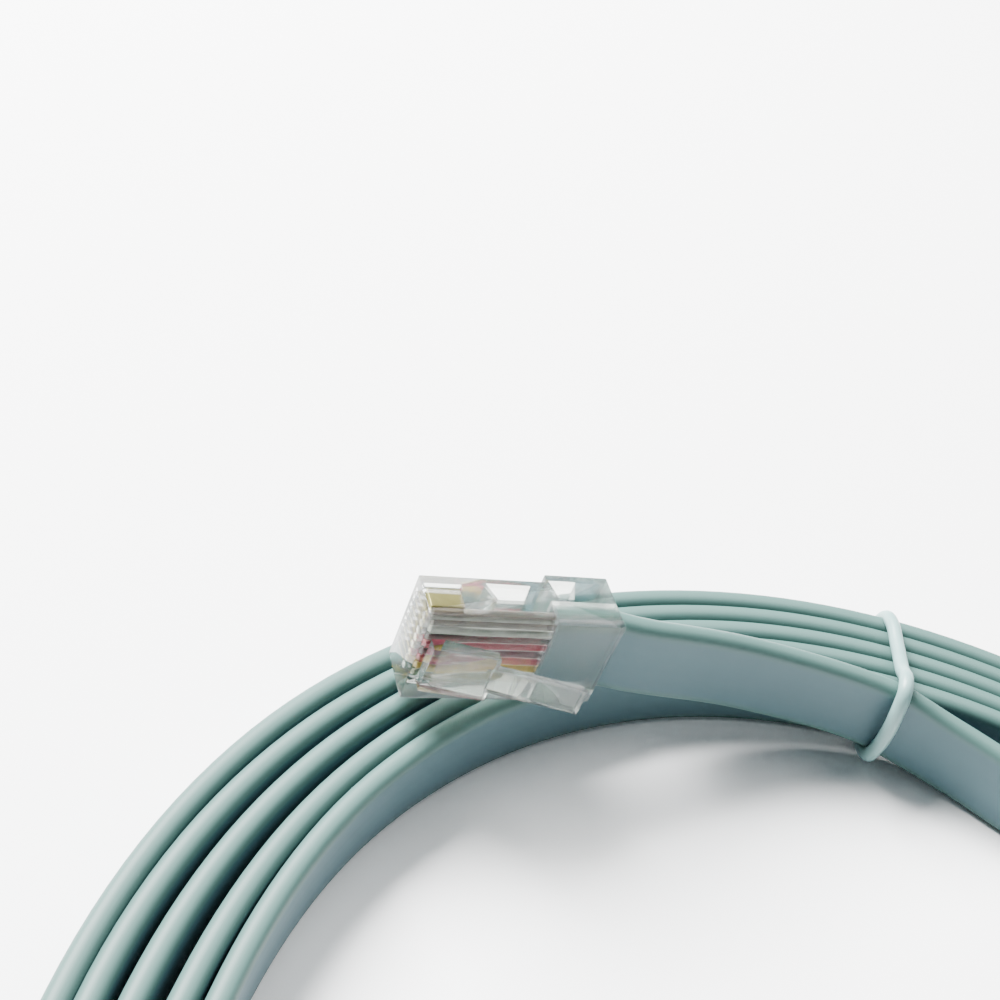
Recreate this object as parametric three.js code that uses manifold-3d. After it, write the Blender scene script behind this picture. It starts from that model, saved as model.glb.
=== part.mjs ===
// Flat eight-wire console cable, wound into a coil and held by one round band.
// A clear modular plug is crimped on each end and lies on top of the coil.
// Millimetres, +Z up. The coil's axis is Z and its underside lies at Z = 0.
import * as THREE from 'three';
import { mergeVertices } from 'three/addons/utils/BufferGeometryUtils.js';
import Module from 'manifold-3d';

const wasm = await Module();
wasm.setup();

// Flat cable
const CABLE_WIDTH = 10.2;
const CABLE_THICKNESS = 2.5;

// Coil, the cable stands on its edge
const COIL_TURNS = 5;
const COIL_OUTER_RADIUS = 79.25;
const TURN_GAP = 0.25;
const COIL_SEGMENTS = 64;
const EDGE_SEGMENTS = 3;

// Clearance between pieces that rest on each other
const REST_GAP = 0.3;

// Plug body: nose to rear along X, contact side to latch side along Y, width along Z
const PLUG_LENGTH = 21.5;
const PLUG_WIDTH = 11.68;
const NOSE_HEIGHT = 6.2;
const REAR_STEP_HEIGHT = 1.1;
const REAR_STEP_START = 13.6;
const REAR_STEP_RAMP = 0.6;
const REAR_CHAMFER = 0.4;

// Bore for the cable jacket and the flat channel for its wires
const WIRE_DEPTH = 3.5;
const JACKET_CLEARANCE = 0.2;
const JACKET_END = 14.5;
const JACKET_BORE_END = 14.2;
const CHANNEL_START = 1.0;
const CHANNEL_HEIGHT = 1.3;
const CHANNEL_SIDE_ROOM = 0.3;

// Wires and contacts
const WIRE_COUNT = 8;
const WIRE_PITCH = 1.02;
const WIRE_DIAMETER = 0.84;
const WIRE_SIDES = 8;
const WIRE_START = 1.3;
const WIRE_JACKET_GAP = 0.15;
const CONTACT_THICKNESS = 0.36;
const CONTACT_START = 1.25;
const CONTACT_END = 4.9;
const CONTACT_DEPTH = 0.45;
const CONTACT_WIRE_GAP = 0.15;
const SLOT_CLEARANCE = 0.12;
const SLOT_END_CLEARANCE = 0.2;

// Pockets of the two pressed strain reliefs, on the contact side
const WIRE_RELIEF = { top: [7.5, 12.8], bottom: [8.1, 11.0], depth: 2.2, sideWall: 1.3 };
const JACKET_RELIEF = { top: [15.0, 18.3], bottom: [15.4, 17.0], depth: 2.6, sideWall: 1.6 };

// Latch, moulded with the body at its nose end
const LATCH_ROOT_START = 0.9;
const LATCH_ROOT_END = 2.6;
const LATCH_ROOT_RISE = 1.4;
const LATCH_THICKNESS = 1.0;
const LATCH_SHOULDER = 7.8;
const LATCH_SHOULDER_HEIGHT = 2.6;
const LATCH_SHOULDER_WIDTH = 6.1;
const LATCH_SHOULDER_DEPTH = 1.1;
const LATCH_TAB_END = 16.9;
const LATCH_TAB_HEIGHT = 5.4;
const LATCH_TAB_WIDTH = 3.25;

// Band that ties the coil
const BAND_DIAMETER = 1.6;
const BAND_ANGLE = 93.6;
const BAND_SIDES = 8;
const BAND_STEPS = 56;
const BAND_CORNER = 1.1;

// Routes of the two free ends, by hand: cable thicknesses inward, angle in degrees, and rise,
// which is 0 where the cable stands on the floor and 1 at the height of a plug on the coil.
// The near end starts inside the coil's bore and the far end at the outermost turn.
const NEAR_ROUTE = [
  [-0.624, 127.07, 1], [-0.32, 123.8, 0.965], [0.02, 120, 0.881], [0.04, 116.5, 0.73],
  [0.04, 112, 0.61], [0.04, 107, 0.494], [0.04, 102, 0.383], [0.04, 98, 0.294],
  [0.04, BAND_ANGLE, 0.2], [0.12, 90, 0.125], [0.36, 86.5, 0.067], [0.76, 82, 0.022],
  [1.24, 77.5, 0.006], [1.56, 72, 0.002], [1.68, 66, 0.002], [1.52, 59, 0.002],
  [1.08, 52, 0.002], [0.52, 45, 0.002], [0.12, 38, 0.002],
];
const FAR_ROUTE = [
  [2.96, -27.2, 1], [2.76, -24, 1], [2.24, -18.5, 0.996], [1.56, -12.5, 0.987],
  [0.84, -6, 0.974], [0.28, 1, 0.961], [0.02, 8, 0.947],
];
const ROUTE_STEPS_PER_SPAN = 2;

// Direction in which each plug points from its nose to its rear
const NEAR_HEADING = 24.8;
const NEAR_DROP = 5.35;
const FAR_HEADING = 54.1;
const FAR_DROP = 0;

const JACKET_COLOR = 0x8fb3b6;
const CLEAR_COLOR = 0xe3e8e6;
const GOLD_COLOR = 0xc9a24a;
const WIRE_COLORS = [
  0x4a3527, 0x9da3a0, 0x2c2f2b, 0x4d5232, 0xa8232f, 0x1b1d1c, 0xb03052, 0xb39a3c,
];

const turnPitch = CABLE_THICKNESS + TURN_GAP;
const coilInnerRadius = COIL_OUTER_RADIUS - COIL_TURNS * CABLE_THICKNESS
  - (COIL_TURNS - 1) * TURN_GAP;
const plugMiddle = PLUG_WIDTH / 2;
const nearBaseRadius = coilInnerRadius - REST_GAP - CABLE_THICKNESS / 2;
const farBaseRadius = COIL_OUTER_RADIUS - CABLE_THICKNESS / 2;
const floorHeight = CABLE_WIDTH / 2;
const plugHeight = CABLE_WIDTH + REST_GAP + plugMiddle;

const materials = {
  jacket: new THREE.MeshStandardMaterial({ color: JACKET_COLOR, roughness: 0.55, metalness: 0 }),
  clear: new THREE.MeshStandardMaterial({ color: CLEAR_COLOR, roughness: 0.08, metalness: 0 }),
  gold: new THREE.MeshStandardMaterial({ color: GOLD_COLOR, roughness: 0.3, metalness: 1 }),
};

function radians(degrees) {
  return degrees * Math.PI / 180;
}

function routePoint(baseRadius, [inward, degrees, rise]) {
  const angle = radians(degrees);
  const radius = baseRadius - inward * CABLE_THICKNESS;
  return new THREE.Vector3(
    radius * Math.cos(angle),
    radius * Math.sin(angle),
    floorHeight + rise * (plugHeight - floorHeight),
  );
}

function named(name, geometry, material) {
  const mesh = new THREE.Mesh(geometry, material);
  mesh.name = name;
  return mesh;
}

// Solids for cutting and joining
function toSolid(geometry) {
  const bare = geometry.clone();
  bare.deleteAttribute('normal');
  bare.deleteAttribute('uv');
  const welded = mergeVertices(bare, 1e-4);
  return new wasm.Manifold(new wasm.Mesh({
    numProp: 3,
    vertProperties: new Float32Array(welded.attributes.position.array),
    triVerts: new Uint32Array(welded.index.array),
  }));
}

function toGeometry(solid) {
  const mesh = solid.getMesh();
  const geometry = new THREE.BufferGeometry();
  geometry.setAttribute('position', new THREE.BufferAttribute(mesh.vertProperties, 3));
  geometry.setIndex(new THREE.BufferAttribute(mesh.triVerts, 1));
  geometry.computeVertexNormals();
  return geometry;
}

function prism(points, low, high) {
  const shape = new THREE.Shape(points.map(([x, y]) => new THREE.Vector2(x, y)));
  const geometry = new THREE.ExtrudeGeometry(shape, { depth: high - low, bevelEnabled: false });
  geometry.translate(0, 0, low);
  return geometry;
}

function block([x0, x1], [y0, y1], [z0, z1]) {
  return prism([[x0, y0], [x1, y0], [x1, y1], [x0, y1]], z0, z1);
}

// A path whose section stays upright, as the flat cable stands on its edge
class UprightPath extends THREE.CatmullRomCurve3 {
  computeFrenetFrames(steps) {
    const tangents = [];
    const normals = [];
    const binormals = [];
    const up = new THREE.Vector3(0, 0, 1);
    for (let step = 0; step <= steps; step += 1) {
      const tangent = this.getTangentAt(step / steps);
      const side = new THREE.Vector3().crossVectors(up, tangent).normalize();
      tangents.push(tangent);
      normals.push(side);
      binormals.push(new THREE.Vector3().crossVectors(tangent, side));
    }
    return { tangents, normals, binormals };
  }
}

// Rounded edge of one turn, from its inner face to its outer face
function edgePoints(middleRadius, level, towards) {
  const points = [];
  for (let step = 0; step <= EDGE_SEGMENTS; step += 1) {
    const angle = Math.PI * (1 - step / EDGE_SEGMENTS);
    const reach = CABLE_THICKNESS / 2;
    const crown = Math.sin(angle) / Math.sin(Math.PI * Math.round(EDGE_SEGMENTS / 2) / EDGE_SEGMENTS);
    points.push(new THREE.Vector2(
      middleRadius + reach * Math.cos(angle),
      level - towards * reach * (1 - crown),
    ));
  }
  return points;
}

function coilProfile() {
  const underside = [];
  const topside = [];
  for (let turn = 0; turn < COIL_TURNS; turn += 1) {
    const radius = coilInnerRadius + CABLE_THICKNESS / 2 + turn * turnPitch;
    underside.push(...edgePoints(radius, 0, -1));
    topside.push(...edgePoints(radius, CABLE_WIDTH, 1));
  }
  const outline = [...underside, ...topside.reverse()];
  outline.push(outline[0].clone());
  return outline;
}

function cableCoil() {
  const ring = new THREE.LatheGeometry(coilProfile(), COIL_SEGMENTS);
  ring.rotateX(Math.PI / 2);
  const room = BAND_DIAMETER + 2 * REST_GAP;
  const notch = block(
    [coilInnerRadius - room, COIL_OUTER_RADIUS + room],
    [-room / 2, room / 2],
    [-room, BAND_DIAMETER + REST_GAP],
  );
  notch.rotateZ(radians(BAND_ANGLE));
  return named('cable_coil', toGeometry(toSolid(ring).subtract(toSolid(notch))), materials.jacket);
}

// Section of the flat cable: X across its thickness, Y across its width
function cableSection() {
  const half = CABLE_THICKNESS / 2;
  const straight = CABLE_WIDTH / 2 - half;
  const shape = new THREE.Shape();
  shape.moveTo(half, -straight);
  for (const [centre, start] of [[straight, 0], [-straight, Math.PI]]) {
    for (let step = 0; step <= EDGE_SEGMENTS; step += 1) {
      const angle = start + Math.PI * step / EDGE_SEGMENTS;
      const crown = Math.sin(angle) / Math.sin(Math.PI / EDGE_SEGMENTS);
      shape.lineTo(half * Math.cos(angle), centre + half * crown);
    }
  }
  return shape;
}

function cableEnd(name, points, plugFrame) {
  const inside = new THREE.Vector3(JACKET_END, WIRE_DEPTH, plugMiddle).applyMatrix4(plugFrame);
  const path = new UprightPath([inside, ...points], false, 'centripetal');
  const geometry = new THREE.ExtrudeGeometry(cableSection(), {
    steps: points.length * ROUTE_STEPS_PER_SPAN,
    extrudePath: path,
  });
  return named(name, geometry, materials.jacket);
}

// The band's loop lies in the XZ plane
class BandPath extends THREE.CurvePath {
  computeFrenetFrames(steps) {
    const tangents = [];
    const normals = [];
    const binormals = [];
    const across = new THREE.Vector3(0, 1, 0);
    for (let step = 0; step <= steps; step += 1) {
      const tangent = step < steps ? this.getTangentAt(step / steps) : tangents[0];
      tangents.push(tangent);
      normals.push(across.clone());
      binormals.push(new THREE.Vector3().crossVectors(tangent, across));
    }
    return { tangents, normals, binormals };
  }
}

function upright([radius, height]) {
  return new THREE.Vector3(radius, 0, height);
}

// Where the band's round corner starts, on the way from the corner to its neighbour
function roundStart(corner, neighbour) {
  const away = upright(neighbour).sub(upright(corner));
  return upright(corner).add(away.setLength(BAND_CORNER));
}

// The band is one endless loop round the coil and the cable's end beside it
function tieBand() {
  const reach = REST_GAP + BAND_DIAMETER / 2;
  const beside = nearPoints[NEAR_ROUTE.findIndex((point) => point[1] === BAND_ANGLE)];
  const end = Math.hypot(beside.x, beside.y);
  const inner = end - CABLE_THICKNESS / 2 - reach;
  const outer = COIL_OUTER_RADIUS + reach;
  const low = BAND_DIAMETER / 2;
  const high = beside.z + CABLE_WIDTH / 2 + reach;
  const coilTop = CABLE_WIDTH + reach;
  const corners = [
    [inner, low], [inner, high], [end + CABLE_THICKNESS / 2 + BAND_CORNER, high],
    [coilInnerRadius + 2 * CABLE_THICKNESS, coilTop], [outer, coilTop], [outer, low],
  ];
  const path = new BandPath();
  corners.forEach((corner, index) => {
    const before = roundStart(corner, corners[(index + corners.length - 1) % corners.length]);
    const after = roundStart(corner, corners[(index + 1) % corners.length]);
    const next = roundStart(corners[(index + 1) % corners.length], corner);
    path.add(new THREE.QuadraticBezierCurve3(before, upright(corner), after));
    path.add(new THREE.LineCurve3(after, next));
  });
  const circle = [];
  for (let side = 0; side < BAND_SIDES; side += 1) {
    const angle = 2 * Math.PI * (side + 0.5) / BAND_SIDES;
    const radius = BAND_DIAMETER / 2;
    circle.push(new THREE.Vector2(radius * Math.cos(angle), radius * Math.sin(angle)));
  }
  const tube = new THREE.ExtrudeGeometry(new THREE.Shape(circle), {
    steps: BAND_STEPS,
    extrudePath: path,
  });
  const walls = tube.groups.find((group) => group.materialIndex === 1);
  const bare = new THREE.BufferGeometry();
  bare.setAttribute('position', new THREE.BufferAttribute(
    tube.attributes.position.array.slice(walls.start * 3, (walls.start + walls.count) * 3), 3));
  const loop = mergeVertices(bare, 1e-3);
  loop.rotateZ(radians(BAND_ANGLE));
  loop.computeVertexNormals();
  return named('tie_band', loop, materials.jacket);
}

function plugShell() {
  const outline = [
    [0, 0], [REAR_STEP_START, 0], [REAR_STEP_START + REAR_STEP_RAMP, -REAR_STEP_HEIGHT],
    [PLUG_LENGTH - REAR_CHAMFER, -REAR_STEP_HEIGHT],
    [PLUG_LENGTH, REAR_CHAMFER - REAR_STEP_HEIGHT],
    [PLUG_LENGTH, NOSE_HEIGHT], [0, NOSE_HEIGHT],
  ];
  return toSolid(prism(outline, 0, PLUG_WIDTH));
}

function latch() {
  const foot = NOSE_HEIGHT - LATCH_THICKNESS / 2;
  const shoulderTop = NOSE_HEIGHT + LATCH_SHOULDER_HEIGHT;
  const tabTop = NOSE_HEIGHT + LATCH_TAB_HEIGHT;
  const rootTop = NOSE_HEIGHT + LATCH_ROOT_RISE;
  const wide = [
    [LATCH_ROOT_START, foot], [LATCH_ROOT_END, foot],
    [LATCH_ROOT_END + LATCH_THICKNESS / 2, rootTop - LATCH_THICKNESS / 2],
    [LATCH_SHOULDER, shoulderTop - LATCH_SHOULDER_DEPTH], [LATCH_SHOULDER, shoulderTop],
    [LATCH_ROOT_START + LATCH_THICKNESS / 2, rootTop + LATCH_THICKNESS / 2],
    [LATCH_ROOT_START, rootTop],
  ];
  const tab = [
    [LATCH_SHOULDER - LATCH_THICKNESS, shoulderTop - LATCH_THICKNESS],
    [LATCH_TAB_END, tabTop - LATCH_THICKNESS], [LATCH_TAB_END, tabTop],
    [LATCH_SHOULDER - LATCH_THICKNESS, shoulderTop],
  ];
  const spread = (width) => [plugMiddle - width / 2, plugMiddle + width / 2];
  return toSolid(prism(wide, ...spread(LATCH_SHOULDER_WIDTH)))
    .add(toSolid(prism(tab, ...spread(LATCH_TAB_WIDTH))));
}

function contactMiddle(index) {
  return plugMiddle + (index - (WIRE_COUNT - 1) / 2) * WIRE_PITCH;
}

function reliefPocket(relief, surface) {
  const floor = surface + relief.depth;
  const mouth = surface - REST_GAP;
  return toSolid(prism([
    [relief.top[0], mouth], [relief.top[1], mouth], [relief.top[1], surface],
    [relief.bottom[1], floor], [relief.bottom[0], floor], [relief.top[0], surface],
  ], relief.sideWall, PLUG_WIDTH - relief.sideWall));
}

function plugBody() {
  const jacketHalf = CABLE_THICKNESS / 2 + JACKET_CLEARANCE;
  const jacketWide = CABLE_WIDTH / 2 + JACKET_CLEARANCE;
  const channelHalf = CHANNEL_HEIGHT / 2;
  const channelWide = WIRE_COUNT * WIRE_PITCH / 2 + CHANNEL_SIDE_ROOM;
  let body = plugShell().add(latch());
  body = body.subtract(toSolid(block(
    [JACKET_BORE_END, PLUG_LENGTH + REST_GAP],
    [WIRE_DEPTH - jacketHalf, WIRE_DEPTH + jacketHalf],
    [plugMiddle - jacketWide, plugMiddle + jacketWide],
  )));
  body = body.subtract(toSolid(block(
    [CHANNEL_START, JACKET_BORE_END + REST_GAP],
    [WIRE_DEPTH - channelHalf, WIRE_DEPTH + channelHalf],
    [plugMiddle - channelWide, plugMiddle + channelWide],
  )));
  const slotHalf = CONTACT_THICKNESS / 2 + SLOT_CLEARANCE;
  for (let index = 0; index < WIRE_COUNT; index += 1) {
    const middle = contactMiddle(index);
    body = body.subtract(toSolid(block(
      [CONTACT_START - SLOT_END_CLEARANCE, CONTACT_END + SLOT_END_CLEARANCE],
      [-REST_GAP, WIRE_DEPTH],
      [middle - slotHalf, middle + slotHalf],
    )));
  }
  body = body.subtract(reliefPocket(WIRE_RELIEF, 0));
  body = body.subtract(reliefPocket(JACKET_RELIEF, -REAR_STEP_HEIGHT));
  return toGeometry(body);
}

function contactBlade(index) {
  const foot = WIRE_DEPTH - WIRE_DIAMETER / 2 - CONTACT_WIRE_GAP;
  const middle = contactMiddle(index);
  return block(
    [CONTACT_START, CONTACT_END],
    [CONTACT_DEPTH, foot],
    [middle - CONTACT_THICKNESS / 2, middle + CONTACT_THICKNESS / 2],
  );
}

function wire(index) {
  const length = JACKET_END - WIRE_JACKET_GAP - WIRE_START;
  const radius = WIRE_DIAMETER / 2;
  const rod = new THREE.CylinderGeometry(radius, radius, length, WIRE_SIDES);
  rod.rotateZ(Math.PI / 2);
  rod.translate(WIRE_START + length / 2, WIRE_DEPTH, contactMiddle(index));
  return rod;
}

// Frame of a plug: its rear opening meets the route's first point.
// Side is 1 where the latch lies to the right of the heading, and -1 to its left.
function plugFrame(start, heading, drop, side) {
  const turn = radians(heading);
  const fall = radians(drop);
  const along = new THREE.Vector3(
    Math.cos(fall) * Math.cos(turn), Math.cos(fall) * Math.sin(turn), -Math.sin(fall));
  const latchward = new THREE.Vector3(side * Math.sin(turn), -side * Math.cos(turn), 0);
  const across = new THREE.Vector3().crossVectors(along, latchward);
  const frame = new THREE.Matrix4().makeBasis(along, latchward, across);
  const rear = new THREE.Vector3(PLUG_LENGTH, WIRE_DEPTH, plugMiddle).applyMatrix4(frame);
  return frame.setPosition(start.clone().sub(rear));
}

// The wires keep their height along the flat cable, so the far plug meets them in reverse order
function plug(label, frame, wireColors) {
  const group = new THREE.Group();
  group.add(named(`${label}_plug_body`, plugBody(), materials.clear));
  for (let index = 0; index < WIRE_COUNT; index += 1) {
    const number = index + 1;
    group.add(named(`${label}_contact_${number}`, contactBlade(index), materials.gold));
    const colour = new THREE.MeshStandardMaterial({
      color: wireColors[index], roughness: 0.5, metalness: 0,
    });
    group.add(named(`${label}_wire_${number}`, wire(index), colour));
  }
  group.applyMatrix4(frame);
  return group;
}

const nearPoints = NEAR_ROUTE.map((point) => routePoint(nearBaseRadius, point));
const farPoints = FAR_ROUTE.map((point) => routePoint(farBaseRadius, point));
const nearFrame = plugFrame(nearPoints[0], NEAR_HEADING, NEAR_DROP, 1);
const farFrame = plugFrame(farPoints[0], FAR_HEADING, FAR_DROP, -1);

const group = new THREE.Group();
group.add(cableCoil());
group.add(cableEnd('near_cable_end', nearPoints, nearFrame));
group.add(cableEnd('far_cable_end', farPoints, farFrame));
group.add(tieBand());
group.add(plug('near', nearFrame, WIRE_COLORS));
group.add(plug('far', farFrame, [...WIRE_COLORS].reverse()));

export default group;
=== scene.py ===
"""Flat console cable, wound on edge and tied with one round band, with a clear plug on each end.

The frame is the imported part, in metres, with the coil's axis on Z and its underside at Z = 0.
Sizes below are in millimetres and become metres where a piece is put in its place.
"""
import math

import bpy
from mathutils import Matrix, Vector


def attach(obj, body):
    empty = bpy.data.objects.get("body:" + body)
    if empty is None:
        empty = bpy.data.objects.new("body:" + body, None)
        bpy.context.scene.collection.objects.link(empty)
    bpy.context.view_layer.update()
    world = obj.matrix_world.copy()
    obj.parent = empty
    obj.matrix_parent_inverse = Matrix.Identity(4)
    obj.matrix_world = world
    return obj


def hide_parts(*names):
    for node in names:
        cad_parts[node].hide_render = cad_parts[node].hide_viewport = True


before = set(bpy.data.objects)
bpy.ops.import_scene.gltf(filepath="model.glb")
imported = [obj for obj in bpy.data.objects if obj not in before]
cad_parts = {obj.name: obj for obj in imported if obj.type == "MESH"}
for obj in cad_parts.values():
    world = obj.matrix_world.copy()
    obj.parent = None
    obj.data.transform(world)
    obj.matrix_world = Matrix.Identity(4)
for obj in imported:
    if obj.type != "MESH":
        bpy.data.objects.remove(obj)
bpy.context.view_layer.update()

MM = 0.001

# Flat cable, standing on its edge
CABLE_WIDTH = 10.2
CABLE_THICKNESS = 2.5
CABLE_EDGE_RADIUS = 1.15
EDGE_STEPS = 6
FACE_STEPS = 4
RING_STEP = 2.0

# Coil
COIL_OUTER_RADIUS = 79.25
TURN_GAP = 0.25
COIL_TURNS = 5
REST_GAP = 0.3

# Plug body: nose to rear along X, contact side to latch side along Y, width along Z
PLUG_LENGTH = 21.5
PLUG_WIDTH = 11.68
NOSE_HEIGHT = 6.2
REAR_STEP_HEIGHT = 1.1
REAR_STEP_START = 13.6
REAR_STEP_RAMP = 0.6
WIRE_DEPTH = 3.5
CRIMP = 0.05
JACKET_END = 14.5
JACKET_BORE_END = 14.2
CHANNEL_START = 1.0
GROOVE_DIAMETER = 0.8
OUTER_BEVEL = 0.14
LATCH_BEVEL = 0.12
# Pressed strain reliefs: reach along X at the surface and at the floor, depth, and side wall
WIRE_RELIEF = (7.5, 12.8), (8.1, 11.0), 2.2, 1.3
JACKET_RELIEF = (15.0, 18.3), (15.4, 17.0), 2.6, 1.6
# How far a cutter stands out of the face it cuts
OVERCUT = 0.3
LATCH_ROOT_START = 0.9
LATCH_ROOT_RISE = 1.4
LATCH_SHOULDER = 7.8
LATCH_SHOULDER_HEIGHT = 2.6
LATCH_SHOULDER_WIDTH = 6.1
LATCH_SUNK = 0.4
LATCH_UNDERCUT = 0.7
LATCH_TAB_RISE = (1.5, 2.5)
LATCH_TAB_END = 16.9
LATCH_TAB_HEIGHT = 5.4
LATCH_TAB_WIDTH = 3.25

# Wires and contacts
WIRE_COUNT = 8
WIRE_PITCH = 1.02
WIRE_DIAMETER = 0.84
WIRE_START = 1.3
WIRE_TUCK = 0.1
WIRE_BEVEL = 0.06
CONTACT_START = 1.25
CONTACT_END = 4.9
CONTACT_THICKNESS = 0.36
CONTACT_DEPTH = 0.45
CONTACT_WIRE_GAP = 0.15
CONTACT_BEVEL = 0.1
SLOT_CLEARANCE = 0.12
SLOT_END_CLEARANCE = 0.2

# Band
BAND_DIAMETER = 1.7
BAND_ANGLE = 93.6
BAND_OVER_END = 13.0

# Routes of the two free ends: cable thicknesses inward, angle in degrees, and rise, which is 0
# where the cable stands on the floor and 1 at the height of a plug on the coil
NEAR_ROUTE = [
    (-0.624, 127.07, 1), (-0.12, 123.8, 0.93), (0.08, 120, 0.835), (0.08, 116.5, 0.735),
    (0.04, 112, 0.617), (0.04, 107, 0.5), (0.04, 102, 0.4), (0.04, 98, 0.33),
    (0.04, BAND_ANGLE, 0.24), (0.12, 90, 0.13), (0.36, 86.5, 0.067), (0.76, 82, 0.022),
    (1.24, 77.5, 0.006), (1.56, 72, 0.002), (1.68, 66, 0.002), (1.52, 59, 0.002),
    (1.08, 52, 0.002), (0.52, 45, 0.002), (0.12, 38, 0.002),
]
FAR_ROUTE = [
    (2.96, -27.2, 1), (2.76, -24, 1), (2.24, -18.5, 0.996), (1.56, -12.5, 0.987),
    (0.84, -6, 0.974), (0.28, 1, 0.961), (0.02, 8, 0.947),
]
NEAR_HEADING, NEAR_DROP, NEAR_SIDE = 24.8, 5.35, 1
FAR_HEADING, FAR_DROP, FAR_SIDE = 54.1, 0.0, -1

# Middle radius of each turn, outermost first, at angles round the coil
TURN_RADII = {
    190: (77.5, 75.0, 72.1, 68.9, 66.0),
    175: (77.6, 75.1, 71.7, 68.0, 65.1),
    150: (78.2, 75.4, 72.3, 69.0, 66.5),
    120: (77.9, 75.4, 72.9, 70.3, 67.8),
    BAND_ANGLE: (78.0, 75.5, 73.0, 70.5, 68.0),
    75: (78.0, 75.5, 73.0, 70.5, 68.0),
    0: (77.6, 75.1, 72.6, 70.1, 67.6),
}
FAR_RAMP_START = 62.0
# How far outside its resting place the near end passes angle 0
NEAR_SHIFT = 0.6

# Camera: its place in millimetres, its two angles in degrees, its lens for a 36 mm sensor
CAMERA_PLACE = (-54.366, -57.63, 122.206)
CAMERA_DOWN = 39.36
CAMERA_ROLL = 16.68
CAMERA_LENS = 51.19
SENSOR_WIDTH = 36.0

# Colours and light
# Painted light and shade: the jacket's edges are coloured paler and greener than its faces,
# partly the vinyl's own tint and partly painted light on the edges and painted shade on the faces
JACKET_EDGE_TINT_AND_PAINTED_LIGHT = (0.052, 0.108, 0.097)
JACKET_FACE_TINT_AND_PAINTED_SHADE = (0.05, 0.1, 0.116)
# Where the edge's colour, with its painted light, goes over into the face's, with its painted
# shade, as parts of half the round edge
EDGE_PAINTED_LIGHT_FADE = (0.7, 1.2)
BAND_COLOR = (0.17, 0.29, 0.28)
CLEAR_COLOR = (0.87, 0.89, 0.84)
CLEAR_IOR = 1.3
CLEAR_ALPHA = 0.8
GOLD_COLOR = (0.22, 0.2, 0.08)
WIRE_COLORS = {
    "brown": (0.045, 0.032, 0.02), "grey": (0.32, 0.34, 0.3), "charcoal": (0.02, 0.024, 0.02),
    "red": (0.22, 0.008, 0.024), "black": (0.012, 0.012, 0.012), "crimson": (0.22, 0.01, 0.042),
    "yellow": (0.32, 0.22, 0.02), "olive": (0.05, 0.06, 0.018),
}
FLOOR_COLOR = (0.9, 0.9, 0.9)
WORLD_COLOR = (0.8, 0.92, 1.0)
WORLD_STRENGTH = 0.28
LAMPS = [
    ("key_lamp", (-0.58, 0.46, 0.72), 0.6, 104.0),
    ("fill_lamp", (0.3, 0.5, 0.9), 0.9, 12.0),
]

coil_inner_radius = (COIL_OUTER_RADIUS - COIL_TURNS * CABLE_THICKNESS
                     - (COIL_TURNS - 1) * TURN_GAP)
near_base_radius = coil_inner_radius - REST_GAP - CABLE_THICKNESS / 2
far_base_radius = COIL_OUTER_RADIUS - CABLE_THICKNESS / 2
plug_middle = PLUG_WIDTH / 2
floor_height = CABLE_WIDTH / 2
plug_height = CABLE_WIDTH + REST_GAP + plug_middle


# Camera

def add_camera():
    """The photograph's view: looking along +Y and down, with the camera rolled."""
    down, roll = math.radians(CAMERA_DOWN), math.radians(CAMERA_ROLL)
    forward = Vector((0, math.cos(down), -math.sin(down)))
    level = Vector((1, 0, 0))
    upward = Vector((0, math.sin(down), math.cos(down)))
    right = level * math.cos(roll) + upward * math.sin(roll)
    top = upward * math.cos(roll) - level * math.sin(roll)
    data = bpy.data.cameras.new("photo_camera")
    data.lens = CAMERA_LENS
    data.sensor_width = SENSOR_WIDTH
    data.clip_start = 0.005
    camera = bpy.data.objects.new("photo_camera", data)
    bpy.context.scene.collection.objects.link(camera)
    turn = Matrix((right, top, -forward)).transposed().to_4x4()
    camera.matrix_world = Matrix.Translation(Vector(CAMERA_PLACE) * MM) @ turn
    bpy.context.scene.camera = camera


# Cable

def smooth_through(stops, at):
    """Value at a place on the smooth curve through (place, value) stops, places rising."""
    last = len(stops) - 2
    span = next((i for i in range(last + 1) if at <= stops[i + 1][0]), last)
    (x0, y0), (x1, y1) = stops[span], stops[span + 1]

    def slope(i):
        low, high = stops[max(i - 1, 0)], stops[min(i + 1, len(stops) - 1)]
        return (high[1] - low[1]) / (high[0] - low[0])

    width = x1 - x0
    t = (at - x0) / width
    return ((2 * t**3 - 3 * t**2 + 1) * y0 + (t**3 - 2 * t**2 + t) * width * slope(span)
            + (3 * t**2 - 2 * t**3) * y1 + (t**3 - t**2) * width * slope(span + 1))


def height_at(rise):
    """Height of the cable's middle line, from standing on the floor to lying in a plug."""
    return floor_height + rise * (plug_height - floor_height)


def radius_stops():
    """Radii along the whole cable, by degrees travelled clockwise from the near plug."""
    start = NEAR_ROUTE[0][1]
    radii = [(start - angle, near_base_radius - inward * CABLE_THICKNESS)
             for inward, angle, rise in NEAR_ROUTE]
    radii.append((start, near_base_radius + NEAR_SHIFT))
    for turn in range(COIL_TURNS):
        place = COIL_TURNS - 1 - turn
        for angle, across in TURN_RADII.items():
            # There the outermost turn already follows the far route
            if angle == 0 and place == 0:
                continue
            radii.append((start - angle + 360 * (turn + 1), across[place]))
    for inward, angle, rise in FAR_ROUTE:
        radii.append((start - angle + 360 * COIL_TURNS,
                      far_base_radius - inward * CABLE_THICKNESS))
    return sorted(radii)


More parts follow.
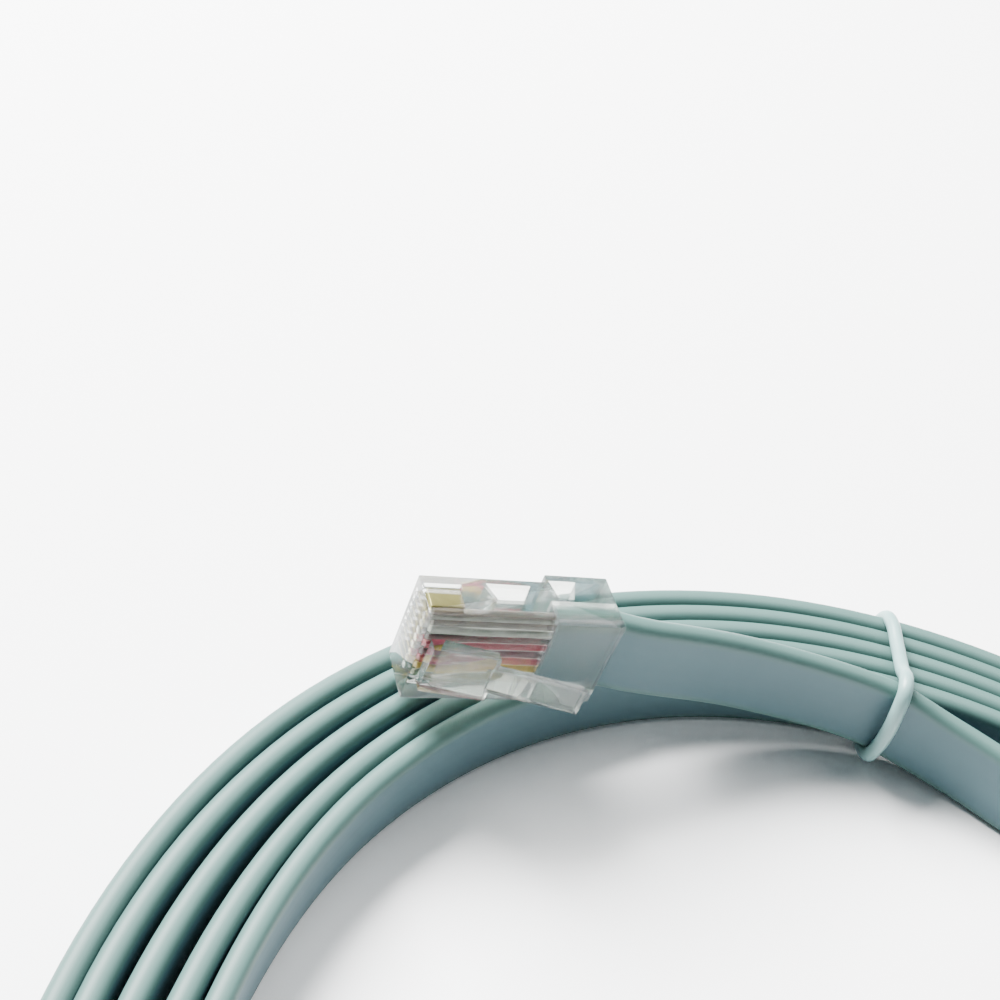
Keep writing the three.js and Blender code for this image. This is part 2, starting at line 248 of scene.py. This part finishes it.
def cable_path():
    """Centres of the cable's rings, from the cut of the near jacket to the cut of the far one."""
    radii = radius_stops()
    start = NEAR_ROUTE[0][1]
    end = radii[-1][0]
    count = round(end / RING_STEP)
    near_rises = [(start - angle, rise) for _, angle, rise in NEAR_ROUTE]
    far_rises = sorted((start - angle + 360 * COIL_TURNS, rise) for _, angle, rise in FAR_ROUTE)
    ramp_start = start - FAR_RAMP_START + 360 * COIL_TURNS
    points = []
    for step in range(count + 1):
        travel = end * step / count
        angle = start - travel
        radius = smooth_through(radii, travel)
        if travel <= near_rises[-1][0]:
            height = height_at(smooth_through(near_rises, travel))
        elif travel >= far_rises[0][0]:
            height = height_at(smooth_through(far_rises, travel))
        else:
            part = max(0, (travel - ramp_start) / (far_rises[0][0] - ramp_start))
            height = height_at(far_rises[0][1] * part**2 * (3 - 2 * part))
        turn = math.radians(angle)
        points.append(Vector((radius * math.cos(turn), radius * math.sin(turn), height)))
    return points


def cable_section():
    """Outline of the flat cable: X across, Y along its width."""
    half, edge = CABLE_THICKNESS / 2, CABLE_EDGE_RADIUS
    outline = []
    for corner in range(4):
        middle = Vector((half - edge, CABLE_WIDTH / 2 - edge))
        middle.x *= 1 if corner in (0, 3) else -1
        middle.y *= 1 if corner in (0, 1) else -1
        for step in range(EDGE_STEPS + 1):
            angle = math.pi / 2 * (corner + step / EDGE_STEPS)
            outline.append(middle + edge * Vector((math.cos(angle), math.sin(angle))))
        if corner in (0, 2):
            continue
        following = outline[-1].copy()
        target = Vector((following.x, -following.y))
        for step in range(1, FACE_STEPS):
            outline.append(following.lerp(target, step / FACE_STEPS))
    return outline


def sweep_cable(name, path):
    """Closed tube of the flat section along the path, with a UV map in metres."""
    outline = cable_section()
    sides = len(outline)
    round_distance = [0.0]
    for index in range(sides):
        step = (outline[(index + 1) % sides] - outline[index]).length
        round_distance.append(round_distance[-1] + step)
    vertices, faces, along = [], [], [0.0]
    for index, centre in enumerate(path):
        before, after = path[max(index - 1, 0)], path[min(index + 1, len(path) - 1)]
        tangent = (after - before).normalized()
        side = Vector((0, 0, 1)).cross(tangent).normalized()
        upright = tangent.cross(side)
        for x, y in outline:
            vertices.append((centre + side * x + upright * y) * MM)
        if index:
            along.append(along[-1] + (centre - path[index - 1]).length)
    for ring in range(len(path) - 1):
        for index in range(sides):
            following = (index + 1) % sides
            low, high = ring * sides, (ring + 1) * sides
            faces.append((low + index, low + following, high + following, high + index))
    faces.append(tuple(range(sides))[::-1])
    faces.append(tuple((len(path) - 1) * sides + index for index in range(sides)))
    mesh = bpy.data.meshes.new(name)
    mesh.from_pydata(vertices, [], faces)
    layer = mesh.uv_layers.new(name="UVMap")
    for face in mesh.polygons[:-2]:
        ring, index = divmod(face.index, sides)
        corners = ((ring, index), (ring, index + 1), (ring + 1, index + 1), (ring + 1, index))
        for loop, (place, edge) in zip(face.loop_indices, corners):
            layer.data[loop].uv = (along[place] * MM, round_distance[edge] * MM)
    piece = bpy.data.objects.new(name, mesh)
    bpy.context.scene.collection.objects.link(piece)
    return piece, along[-1]


# Frames of the two plugs

def plug_frame(start, heading, drop, side):
    """Matrix from a plug's own millimetres to the row frame, its opening at the cable's start."""
    turn, fall = math.radians(heading), math.radians(drop)
    along = Vector((math.cos(fall) * math.cos(turn), math.cos(fall) * math.sin(turn),
                    -math.sin(fall)))
    latchward = Vector((side * math.sin(turn), -side * math.cos(turn), 0))
    across = along.cross(latchward)
    rotation = Matrix((along, latchward, across)).transposed()
    rear = rotation @ Vector((PLUG_LENGTH, WIRE_DEPTH, plug_middle))
    return Matrix.Scale(MM, 4) @ Matrix.Translation(start - rear) @ rotation.to_4x4()


def inside_plug(matrix):
    """Points from the jacket's cut to just inside the plug's opening, in millimetres."""
    places = [JACKET_END + (PLUG_LENGTH - JACKET_END) * step / 4 for step in range(4)]
    return [matrix @ Vector((place, WIRE_DEPTH, plug_middle)) / MM for place in places]


# Modelling by hand, in millimetres

def only(piece):
    """Select this piece alone and make it the active one."""
    bpy.ops.object.select_all(action="DESELECT")
    piece.select_set(True)
    bpy.context.view_layer.objects.active = piece


def add_block(name, x, y, z):
    """Cuboid between two places along each of a plug's own axes."""
    bpy.ops.object.select_all(action="DESELECT")
    middle = [sum(span) / 2 for span in (x, y, z)]
    bpy.ops.mesh.primitive_cube_add(size=1, location=middle,
                                    scale=[high - low for low, high in (x, y, z)])
    piece = bpy.context.object
    piece.name = name
    bpy.ops.object.transform_apply()
    return piece


def add_rod(name, radius, x, y, z, sides=20):
    """Round rod along X, from x[0] to x[1]."""
    bpy.ops.object.select_all(action="DESELECT")
    bpy.ops.mesh.primitive_cylinder_add(
        vertices=sides, radius=radius, depth=x[1] - x[0],
        location=(sum(x) / 2, y, z), rotation=(0, math.pi / 2, 0))
    piece = bpy.context.object
    piece.name = name
    bpy.ops.object.transform_apply()
    return piece


def shape(piece, chosen, operator, **options):
    """Edit-mode operator on the vertices that chosen(place) picks out."""
    only(piece)
    bpy.ops.object.mode_set(mode="EDIT")
    bpy.ops.mesh.select_mode(type="VERT")
    bpy.ops.mesh.select_all(action="DESELECT")
    bpy.ops.object.mode_set(mode="OBJECT")
    for vertex in piece.data.vertices:
        vertex.select = chosen(vertex.co)
    bpy.ops.object.mode_set(mode="EDIT")
    operator(**options)
    bpy.ops.object.mode_set(mode="OBJECT")


def finish_with(piece, kind, **settings):
    """Add a modifier and apply it."""
    only(piece)
    modifier = piece.modifiers.new(kind.lower(), kind)
    for setting, value in settings.items():
        setattr(modifier, setting, value)
    bpy.ops.object.modifier_apply(modifier=modifier.name)


def cut(piece, tool):
    """Take the tool's form out of the piece."""
    finish_with(piece, "BOOLEAN", operation="DIFFERENCE", object=tool, solver="EXACT")
    bpy.data.objects.remove(tool)


def join(piece, tool):
    """Make the piece and the tool one closed body."""
    finish_with(piece, "BOOLEAN", operation="UNION", object=tool, solver="EXACT")
    bpy.data.objects.remove(tool)


def soften(piece, width, segments=2):
    """Round every sharp edge."""
    finish_with(piece, "BEVEL", width=width, segments=segments, limit_method="ANGLE",
                angle_limit=math.radians(30))


def set_in_place(piece, matrix):
    """Move a piece from a plug's own frame to the row frame, into its mesh."""
    piece.matrix_world = matrix
    only(piece)
    bpy.ops.object.transform_apply()


# Plug

def contact_middle(index):
    """Place of one contact and its wire across the plug."""
    return plug_middle + (index - (WIRE_COUNT - 1) / 2) * WIRE_PITCH


def relief_pocket(name, surface, top, bottom, depth, side_wall):
    """Cutter for a pressed strain relief: wide at the contact side, narrow at its floor."""
    pocket = add_block(name, top, (surface - OVERCUT, surface + depth),
                       (side_wall, PLUG_WIDTH - side_wall))
    middle = sum(bottom) / 2
    narrowing = (bottom[1] - bottom[0]) / (top[1] - top[0])
    floor = surface + depth - OVERCUT
    shape(pocket, lambda at: at.y > floor, bpy.ops.transform.resize,
          value=(narrowing, 1, 1), center_override=(middle, floor, plug_middle))
    return pocket


def make_plug_body():
    """Clear body with its latch, cut out for the jacket, the wires, the contacts and reliefs."""
    body = add_block("plug_body", (0, PLUG_LENGTH), (0, NOSE_HEIGHT), (0, PLUG_WIDTH))
    step = add_block("rear_step", (REAR_STEP_START, PLUG_LENGTH),
                     (-REAR_STEP_HEIGHT, NOSE_HEIGHT / 2), (0, PLUG_WIDTH))
    shape(step, lambda at: at.y < 0 and at.x < PLUG_LENGTH - 1, bpy.ops.transform.translate,
          value=(REAR_STEP_RAMP, 0, 0))
    join(body, step)
    soften(body, OUTER_BEVEL)
    join(body, make_latch())

    half = CABLE_THICKNESS / 2 - CRIMP
    wide = CABLE_WIDTH / 2 - CRIMP
    bore = add_block("jacket_bore", (JACKET_BORE_END, PLUG_LENGTH + 1),
                     (WIRE_DEPTH - half, WIRE_DEPTH + half),
                     (plug_middle - wide, plug_middle + wide))
    cut(body, bore)
    for index in range(WIRE_COUNT):
        middle = contact_middle(index)
        groove = add_rod("wire_groove", GROOVE_DIAMETER / 2, (CHANNEL_START, JACKET_BORE_END),
                         WIRE_DEPTH, middle, sides=16)
        cut(body, groove)
        slot_half = CONTACT_THICKNESS / 2 + SLOT_CLEARANCE
        slot = add_block("contact_slot",
                         (CONTACT_START - SLOT_END_CLEARANCE, CONTACT_END + SLOT_END_CLEARANCE),
                         (-OVERCUT, CONTACT_DEPTH + CRIMP),
                         (middle - slot_half, middle + slot_half))
        cut(body, slot)
    cut(body, relief_pocket("wire_relief", 0, *WIRE_RELIEF))
    cut(body, relief_pocket("jacket_relief", -REAR_STEP_HEIGHT, *JACKET_RELIEF))
    return body


def make_latch():
    """Lever with a wide shouldered root and a narrow tab, sprung away from the body."""
    lever = add_block("latch", (LATCH_ROOT_START, LATCH_SHOULDER),
                      (NOSE_HEIGHT - LATCH_SUNK, NOSE_HEIGHT + LATCH_ROOT_RISE),
                      (plug_middle - LATCH_SHOULDER_WIDTH / 2,
                       plug_middle + LATCH_SHOULDER_WIDTH / 2))
    rear = LATCH_SHOULDER - 0.1
    shape(lever, lambda at: at.x > rear, bpy.ops.transform.translate,
          value=(0, LATCH_SHOULDER_HEIGHT - LATCH_ROOT_RISE, 0))
    shape(lever, lambda at: at.x > rear and at.y < NOSE_HEIGHT + LATCH_ROOT_RISE,
          bpy.ops.transform.translate, value=(0, LATCH_UNDERCUT, 0))
    tab = add_block("latch_tab", (LATCH_SHOULDER - 1, LATCH_TAB_END),
                    [NOSE_HEIGHT + rise for rise in LATCH_TAB_RISE],
                    (plug_middle - LATCH_TAB_WIDTH / 2, plug_middle + LATCH_TAB_WIDTH / 2))
    shape(tab, lambda at: at.x > LATCH_TAB_END - 1, bpy.ops.transform.translate,
          value=(0, LATCH_TAB_HEIGHT - LATCH_TAB_RISE[1], 0))
    join(lever, tab)
    soften(lever, LATCH_BEVEL)
    return lever


def make_contacts():
    """Eight gold blades, rounded at the corners that the socket's springs meet."""
    foot = WIRE_DEPTH - WIRE_DIAMETER / 2 - CONTACT_WIRE_GAP
    blades = []
    for index in range(WIRE_COUNT):
        middle = contact_middle(index)
        blade = add_block("contacts", (CONTACT_START, CONTACT_END), (CONTACT_DEPTH, foot),
                          (middle - CONTACT_THICKNESS / 2, middle + CONTACT_THICKNESS / 2))
        soften(blade, CONTACT_BEVEL)
        blades.append(blade)
    only(blades[0])
    for blade in blades:
        blade.select_set(True)
    bpy.ops.object.join()
    return blades[0]


def make_wire(index):
    """One insulated wire, from the plug's nose into the cut end of the jacket."""
    wire = add_rod("wire", WIRE_DIAMETER / 2, (WIRE_START, JACKET_END + WIRE_TUCK), WIRE_DEPTH,
                   contact_middle(index))
    soften(wire, WIRE_BEVEL)
    return wire


def add_plug(label, matrix, colors):
    """Body, contacts and coloured wires of one plug; returns all of its pieces."""
    body = make_plug_body()
    body.name = label + "_plug"
    set_in_place(body, matrix)
    only(body)
    bpy.ops.object.shade_smooth_by_angle(angle=math.radians(28))
    body.data.materials.clear()
    body.data.materials.append(clear_plastic)
    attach(body, "root")
    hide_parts(label + "_plug_body")
    contacts = make_contacts()
    contacts.name = label + "_contacts"
    set_in_place(contacts, matrix)
    contacts.data.materials.clear()
    contacts.data.materials.append(contact_gold)
    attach(contacts, "root")
    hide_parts(*[f"{label}_contact_{index + 1}" for index in range(WIRE_COUNT)])
    made = [body, contacts]
    for index, color in enumerate(colors):
        wire = make_wire(index)
        wire.name = f"{label}_{color}_wire"
        set_in_place(wire, matrix)
        only(wire)
        bpy.ops.object.shade_smooth_by_angle(angle=math.radians(40))
        wire.data.materials.clear()
        wire.data.materials.append(wire_finishes[color])
        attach(wire, "root")
        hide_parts(f"{label}_wire_{index + 1}")
        made.append(wire)
    return made


# Band

def add_band():
    """One endless round loop across the coil and the cable's end beside it."""
    reach = BAND_DIAMETER / 2
    low = reach
    inner = near_base_radius - CABLE_THICKNESS / 2 - reach
    outer = COIL_OUTER_RADIUS + reach
    high = BAND_OVER_END + reach
    coil_top = CABLE_WIDTH + reach
    # Outward from the coil's middle, sideways, and up
    stops = [
        (inner, 0, low + 2.4), (inner, 0, high - 1.3), (inner + 1.3, -0.1, high),
        (inner + 6.0, -0.8, coil_top + 1.1), (inner + 10.5, -1.0, coil_top + 0.35),
        (outer - 3.0, -0.9, coil_top - 0.1), (outer - 1.0, -0.8, coil_top - 1.1),
        (outer, -0.7, coil_top - 3.2), (outer, -0.3, low + 1.2), (outer - 1.2, -0.3, low + 0.1),
        (outer - 2.8, -0.3, low), (inner + 5.5, 0, low), (inner + 3.4, 0, low + 0.2),
        (inner + 1.2, 0, low + 1.1),
    ]
    curve = bpy.data.curves.new("band", "CURVE")
    curve.dimensions = "3D"
    curve.bevel_depth = BAND_DIAMETER / 2
    curve.bevel_resolution = 5
    curve.resolution_u = 10
    spline = curve.splines.new("BEZIER")
    spline.bezier_points.add(len(stops) - 1)
    for point, stop in zip(spline.bezier_points, stops):
        point.co = stop
        point.handle_left_type = point.handle_right_type = "AUTO"
    spline.use_cyclic_u = True
    band = bpy.data.objects.new("tie_loop", curve)
    bpy.context.scene.collection.objects.link(band)
    band.matrix_world = (Matrix.Rotation(math.radians(BAND_ANGLE), 4, "Z")
                         @ Matrix.Scale(MM, 4))
    only(band)
    bpy.ops.object.convert(target="MESH")
    band = bpy.context.object
    bpy.ops.object.transform_apply()
    bpy.ops.object.shade_smooth()
    band.data.materials.clear()
    band.data.materials.append(band_vinyl)
    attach(band, "root")
    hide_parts("tie_band")


# Materials

def new_material(name, color, roughness, metallic=0.0, specular=0.5):
    """Plain material, with its nodes, links and shader."""
    material = bpy.data.materials.new(name)
    material.use_nodes = True
    nodes, links = material.node_tree.nodes, material.node_tree.links
    shader = nodes["Principled BSDF"]
    shader.inputs["Base Color"].default_value = (*color, 1)
    shader.inputs["Roughness"].default_value = roughness
    shader.inputs["Metallic"].default_value = metallic
    shader.inputs["Specular IOR Level"].default_value = specular
    return material, nodes, links, shader


def noise(nodes, links, coordinates, scale, detail=3.0, stretch=(1, 1, 1)):
    """Soft noise from 0 to 1."""
    mapping = nodes.new("ShaderNodeMapping")
    mapping.inputs["Scale"].default_value = stretch
    links.new(coordinates, mapping.inputs["Vector"])
    texture = nodes.new("ShaderNodeTexNoise")
    texture.inputs["Scale"].default_value = scale
    texture.inputs["Detail"].default_value = detail
    links.new(mapping.outputs["Vector"], texture.inputs["Vector"])
    return texture.outputs["Fac"]


def color_between(nodes, links, factor, low_color, high_color, low=0.35, high=0.65):
    """Colour that goes from one to the other as the factor goes from low to high."""
    ramp = nodes.new("ShaderNodeValToRGB")
    ramp.color_ramp.elements[0].position, ramp.color_ramp.elements[1].position = low, high
    ramp.color_ramp.elements[0].color = (*low_color, 1)
    ramp.color_ramp.elements[1].color = (*high_color, 1)
    links.new(factor, ramp.inputs["Fac"])
    return ramp.outputs["Color"]


def add_bump(nodes, links, shader, height, distance, strength=1.0):
    """Surface relief from a height, with its depth in metres."""
    bump = nodes.new("ShaderNodeBump")
    bump.inputs["Distance"].default_value = distance
    bump.inputs["Strength"].default_value = strength
    links.new(height, bump.inputs["Height"])
    links.new(bump.outputs["Normal"], shader.inputs["Normal"])


def make_jacket():
    """Satin vinyl: faint lengthwise extrusion lines, slow changes of tone, and edges paler and
    greener than the faces, partly the vinyl's own tint and partly painted light on the edges and
    painted shade on the faces.
    """
    material, nodes, links, shader = new_material("jacket_vinyl", JACKET_FACE_TINT_AND_PAINTED_SHADE, 0.5,
                                                  specular=0.3)
    uv = nodes.new("ShaderNodeTexCoord").outputs["UV"]
    apart = nodes.new("ShaderNodeSeparateXYZ")
    links.new(uv, apart.inputs["Vector"])
    round_edge = math.pi * CABLE_EDGE_RADIUS + CABLE_THICKNESS - 2 * CABLE_EDGE_RADIUS
    face = CABLE_WIDTH - 2 * CABLE_EDGE_RADIUS
    from_edge = nodes.new("ShaderNodeMath")
    from_edge.operation = "SUBTRACT"
    from_edge.inputs[1].default_value = round_edge / 2 * MM
    links.new(apart.outputs["Y"], from_edge.inputs[0])
    distance = nodes.new("ShaderNodeMath")
    distance.operation = "PINGPONG"
    distance.inputs[1].default_value = (round_edge + face) / 2 * MM
    links.new(from_edge.outputs["Value"], distance.inputs[0])
    # Painted light and shade: mask from the paler edge colour to the darker, bluer face colour
    # across the round edge
    edge_tint_and_light_mask = nodes.new("ShaderNodeMapRange")
    edge_tint_and_light_mask.inputs["From Min"].default_value = round_edge / 2 * EDGE_PAINTED_LIGHT_FADE[0] * MM
    edge_tint_and_light_mask.inputs["From Max"].default_value = round_edge / 2 * EDGE_PAINTED_LIGHT_FADE[1] * MM
    links.new(distance.outputs["Value"], edge_tint_and_light_mask.inputs["Value"])
    tone = noise(nodes, links, uv, scale=60, stretch=(0.5, 3, 1))
    light_and_dark = []
    for shade in (0.92, 1.08):
        mix = nodes.new("ShaderNodeMix")
        mix.data_type = "RGBA"
        links.new(edge_tint_and_light_mask.outputs["Result"], mix.inputs["Factor"])
        mix.inputs["A"].default_value = (*[c * shade for c in JACKET_EDGE_TINT_AND_PAINTED_LIGHT], 1)
        mix.inputs["B"].default_value = (*[c * shade for c in JACKET_FACE_TINT_AND_PAINTED_SHADE], 1)
        light_and_dark.append(mix.outputs["Result"])
    blend = nodes.new("ShaderNodeMix")
    blend.data_type = "RGBA"
    links.new(tone, blend.inputs["Factor"])
    links.new(light_and_dark[0], blend.inputs["A"])
    links.new(light_and_dark[1], blend.inputs["B"])
    links.new(blend.outputs["Result"], shader.inputs["Base Color"])
    lines = noise(nodes, links, uv, scale=900, stretch=(0.02, 1, 1))
    add_bump(nodes, links, shader, lines, distance=0.00004, strength=0.5)
    return material


def make_band_vinyl():
    """Smooth vinyl with a faint change of tone."""
    material, nodes, links, shader = new_material("band_vinyl", BAND_COLOR, 0.38)
    place_node = nodes.new("ShaderNodeTexCoord").outputs["Object"]
    tone = noise(nodes, links, place_node, scale=400)
    color = color_between(nodes, links, tone, [c * 0.95 for c in BAND_COLOR],
                          [min(c * 1.05, 1) for c in BAND_COLOR])
    links.new(color, shader.inputs["Base Color"])
    return material


def make_clear_plastic():
    """Clear polycarbonate with the faint waviness of a moulded face."""
    material, nodes, links, shader = new_material("clear_plastic", CLEAR_COLOR, 0.02)
    shader.inputs["Transmission Weight"].default_value = 1.0
    shader.inputs["IOR"].default_value = CLEAR_IOR
    shader.inputs["Alpha"].default_value = CLEAR_ALPHA
    place_node = nodes.new("ShaderNodeTexCoord").outputs["Object"]
    waves = noise(nodes, links, place_node, scale=260, detail=1.0)
    add_bump(nodes, links, shader, waves, distance=0.0001, strength=0.3)
    return material


def make_gold():
    """Gold plating with a faint change of tone."""
    material, nodes, links, shader = new_material("contact_gold", GOLD_COLOR, 0.28, metallic=1.0)
    place_node = nodes.new("ShaderNodeTexCoord").outputs["Object"]
    tone = noise(nodes, links, place_node, scale=1500)
    color = color_between(nodes, links, tone, [c * 0.85 for c in GOLD_COLOR], GOLD_COLOR)
    links.new(color, shader.inputs["Base Color"])
    return material


def make_wire_finish(name, color):
    """Satin insulation in one colour."""
    material, nodes, links, shader = new_material("wire_" + name, color, 0.4)
    place_node = nodes.new("ShaderNodeTexCoord").outputs["Object"]
    tone = noise(nodes, links, place_node, scale=900)
    shade = color_between(nodes, links, tone, [c * 0.85 for c in color],
                          [min(c * 1.1, 1) for c in color])
    links.new(shade, shader.inputs["Base Color"])
    return material


# Room

def add_room():
    """Plain pale floor, an even pale surround and two soft lamps."""
    bpy.ops.object.select_all(action="DESELECT")
    bpy.ops.mesh.primitive_plane_add(size=6.0, location=(0, 0, 0))
    floor = bpy.context.object
    floor.name = "floor"
    material, nodes, links, shader = new_material("floor_paint", FLOOR_COLOR, 0.9, specular=0.1)
    place_node = nodes.new("ShaderNodeTexCoord").outputs["Object"]
    tone = noise(nodes, links, place_node, scale=2)
    links.new(color_between(nodes, links, tone, [c * 0.99 for c in FLOOR_COLOR], FLOOR_COLOR),
              shader.inputs["Base Color"])
    floor.data.materials.append(material)
    world = bpy.data.worlds.new("surround")
    world.use_nodes = True
    world.node_tree.nodes["Background"].inputs["Color"].default_value = (*WORLD_COLOR, 1)
    world.node_tree.nodes["Background"].inputs["Strength"].default_value = WORLD_STRENGTH
    bpy.context.scene.world = world
    for name, spot, size, power in LAMPS:
        data = bpy.data.lights.new(name, "AREA")
        data.size = size
        data.energy = power
        lamp = bpy.data.objects.new(name, data)
        bpy.context.scene.collection.objects.link(lamp)
        lamp.location = spot
        lamp.rotation_euler = Vector(spot).to_track_quat("Z", "Y").to_euler()


add_camera()
coil_points = cable_path()
near_frame = plug_frame(coil_points[0], NEAR_HEADING, NEAR_DROP, NEAR_SIDE)
far_frame = plug_frame(coil_points[-1], FAR_HEADING, FAR_DROP, FAR_SIDE)
cable_points = inside_plug(near_frame) + coil_points + inside_plug(far_frame)[::-1]
cable, cable_length = sweep_cable("cable", cable_points)
only(cable)
bpy.ops.object.shade_smooth_by_angle(angle=math.radians(40))
cable.data.materials.append(make_jacket())
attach(cable, "root")
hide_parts("cable_coil", "near_cable_end", "far_cable_end")

clear_plastic = make_clear_plastic()
contact_gold = make_gold()
band_vinyl = make_band_vinyl()
wire_finishes = {name: make_wire_finish(name, color) for name, color in WIRE_COLORS.items()}
near_pieces = add_plug("near", near_frame, list(WIRE_COLORS))
far_pieces = add_plug("far", far_frame, list(WIRE_COLORS)[::-1])
add_band()
add_room()
